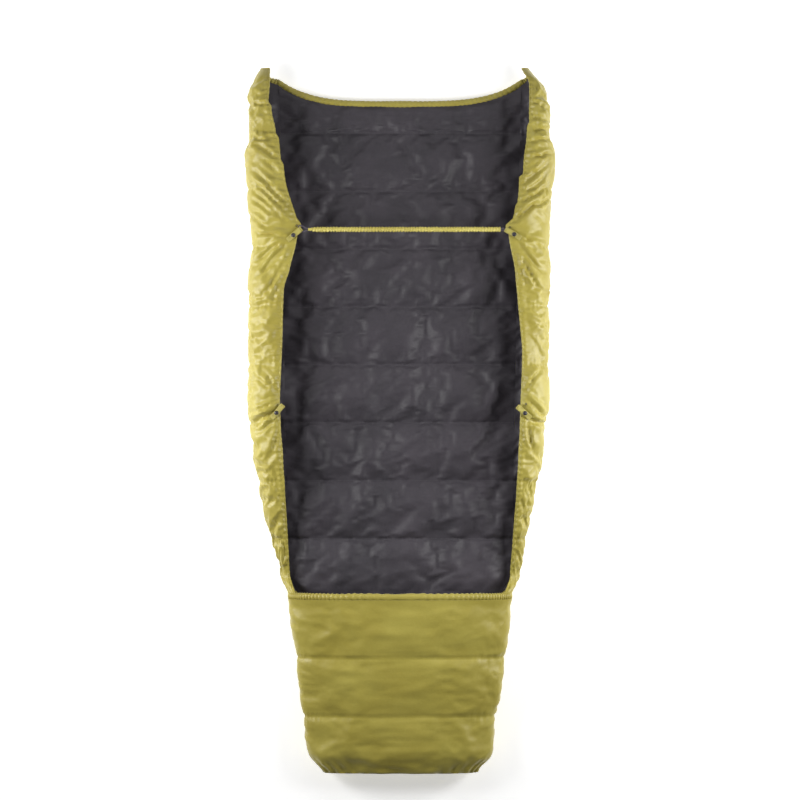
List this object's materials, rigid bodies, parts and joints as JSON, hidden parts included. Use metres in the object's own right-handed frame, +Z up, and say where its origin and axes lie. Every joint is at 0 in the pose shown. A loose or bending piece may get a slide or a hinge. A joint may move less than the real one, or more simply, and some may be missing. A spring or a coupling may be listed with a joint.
{
  "type": "camp quilt",
  "caption": "Down-filled camp quilt laid open with its outer face down: a quilted bed, two side flaps that curl over, a closed foot box, snap tabs and an elastic strap.",
  "frame": {"origin": "on the ground under the middle of the laid-out quilt, whose outer face is down", "axes": "+X across the quilt towards its right side as seen from above with the head up, +Y towards the head, +Z up"},
  "size_m": [0.7183, 1.6474, 0.1151],
  "materials": {
    "shell_nylon": "satin",
    "liner_nylon": "satin",
    "down": "matte",
    "baffle_mesh": "matte",
    "tab_webbing": "satin",
    "strap_nylon": "satin",
    "elastic_cord": "matte",
    "snap_metal": "satin"
  },
  "bodies": {
    "quilt_body": {"bed_baffle_01": "baffle_mesh", "bed_baffle_02": "baffle_mesh", "bed_baffle_03": "baffle_mesh", "bed_baffle_04": "baffle_mesh", "bed_baffle_05": "baffle_mesh", "bed_baffle_06": "baffle_mesh", "bed_baffle_07": "baffle_mesh", "bed_baffle_08": "baffle_mesh", "bed_down_01": "down", "bed_down_02": "down", "bed_down_03": "down", "bed_down_04": "down", "bed_down_05": "down", "bed_down_06": "down", "bed_down_07": "down", "bed_down_08": "down", "bed_down_09": "down", "bed_liner": "liner_nylon", "bed_shell": "shell_nylon", "foot_baffle_01": "baffle_mesh", "foot_baffle_02": "baffle_mesh", "foot_down_01": "down", "foot_down_02": "down", "foot_down_03": "down", "foot_liner": "liner_nylon", "foot_mouth_hem": "shell_nylon", "foot_shell": "shell_nylon", "neck_hem": "shell_nylon"},
    "left_flap": {"left_flap_down": "down", "left_flap_hem": "shell_nylon", "left_flap_liner": "liner_nylon", "left_flap_shell": "shell_nylon", "tab_upper_left_base": "tab_webbing", "stud_upper_left": "snap_metal", "tab_lower_left_base": "tab_webbing", "stud_lower_left": "snap_metal"},
    "right_flap": {"right_flap_down": "down", "right_flap_hem": "shell_nylon", "right_flap_liner": "liner_nylon", "right_flap_shell": "shell_nylon", "tab_upper_right_base": "tab_webbing", "stud_upper_right": "snap_metal", "tab_lower_right_base": "tab_webbing", "stud_lower_right": "snap_metal"},
    "upper_left_tab": {"tab_upper_left_leaf": "tab_webbing", "cap_upper_left": "snap_metal", "socket_upper_left": "snap_metal"},
    "upper_right_tab": {"tab_upper_right_leaf": "tab_webbing", "cap_upper_right": "snap_metal", "socket_upper_right": "snap_metal"},
    "lower_left_tab": {"tab_lower_left_leaf": "tab_webbing", "cap_lower_left": "snap_metal", "socket_lower_left": "snap_metal"},
    "lower_right_tab": {"tab_lower_right_leaf": "tab_webbing", "cap_lower_right": "snap_metal", "socket_lower_right": "snap_metal"},
    "strap": {"strap_sleeve": "strap_nylon", "strap_elastic": "elastic_cord"}
  },
  "joints": [
    {"name": "left_flap_open", "type": "hinge", "parent": "quilt_body", "child": "left_flap", "pos_m": [-0.2737, 0.231, 0.012], "axis": [0.0191, -0.9998, 0], "range_deg": [0, 40]},
    {"name": "right_flap_open", "type": "hinge", "parent": "quilt_body", "child": "right_flap", "pos_m": [0.2737, 0.231, 0.012], "axis": [0.0191, 0.9998, 0], "range_deg": [0, 40]},
    {"name": "upper_left_tab_open", "type": "hinge", "parent": "left_flap", "child": "upper_left_tab", "pos_m": [-0.23009, 0.4401, 0.11199], "axis": [-0.6368, 0.771, 0], "range_deg": [0, 110]},
    {"name": "upper_right_tab_open", "type": "hinge", "parent": "right_flap", "child": "upper_right_tab", "pos_m": [0.24569, 0.43947, 0.11198], "axis": [-0.5078, -0.8615, 0], "range_deg": [0, 110]},
    {"name": "lower_left_tab_open", "type": "hinge", "parent": "left_flap", "child": "lower_left_tab", "pos_m": [-0.27184, 0.03364, 0.10898], "axis": [-0.7637, 0.6456, 0], "range_deg": [0, 110]},
    {"name": "lower_right_tab_open", "type": "hinge", "parent": "right_flap", "child": "lower_right_tab", "pos_m": [0.27317, 0.03096, 0.10925], "axis": [-0.669, -0.7433, 0], "range_deg": [0, 110]},
    {"name": "strap_swing", "type": "hinge", "parent": "left_flap", "child": "strap", "pos_m": [-0.22904, 0.44097, 0.10957], "axis": [0.6368, -0.771, 0], "range_deg": [0, 120]}
  ]
}
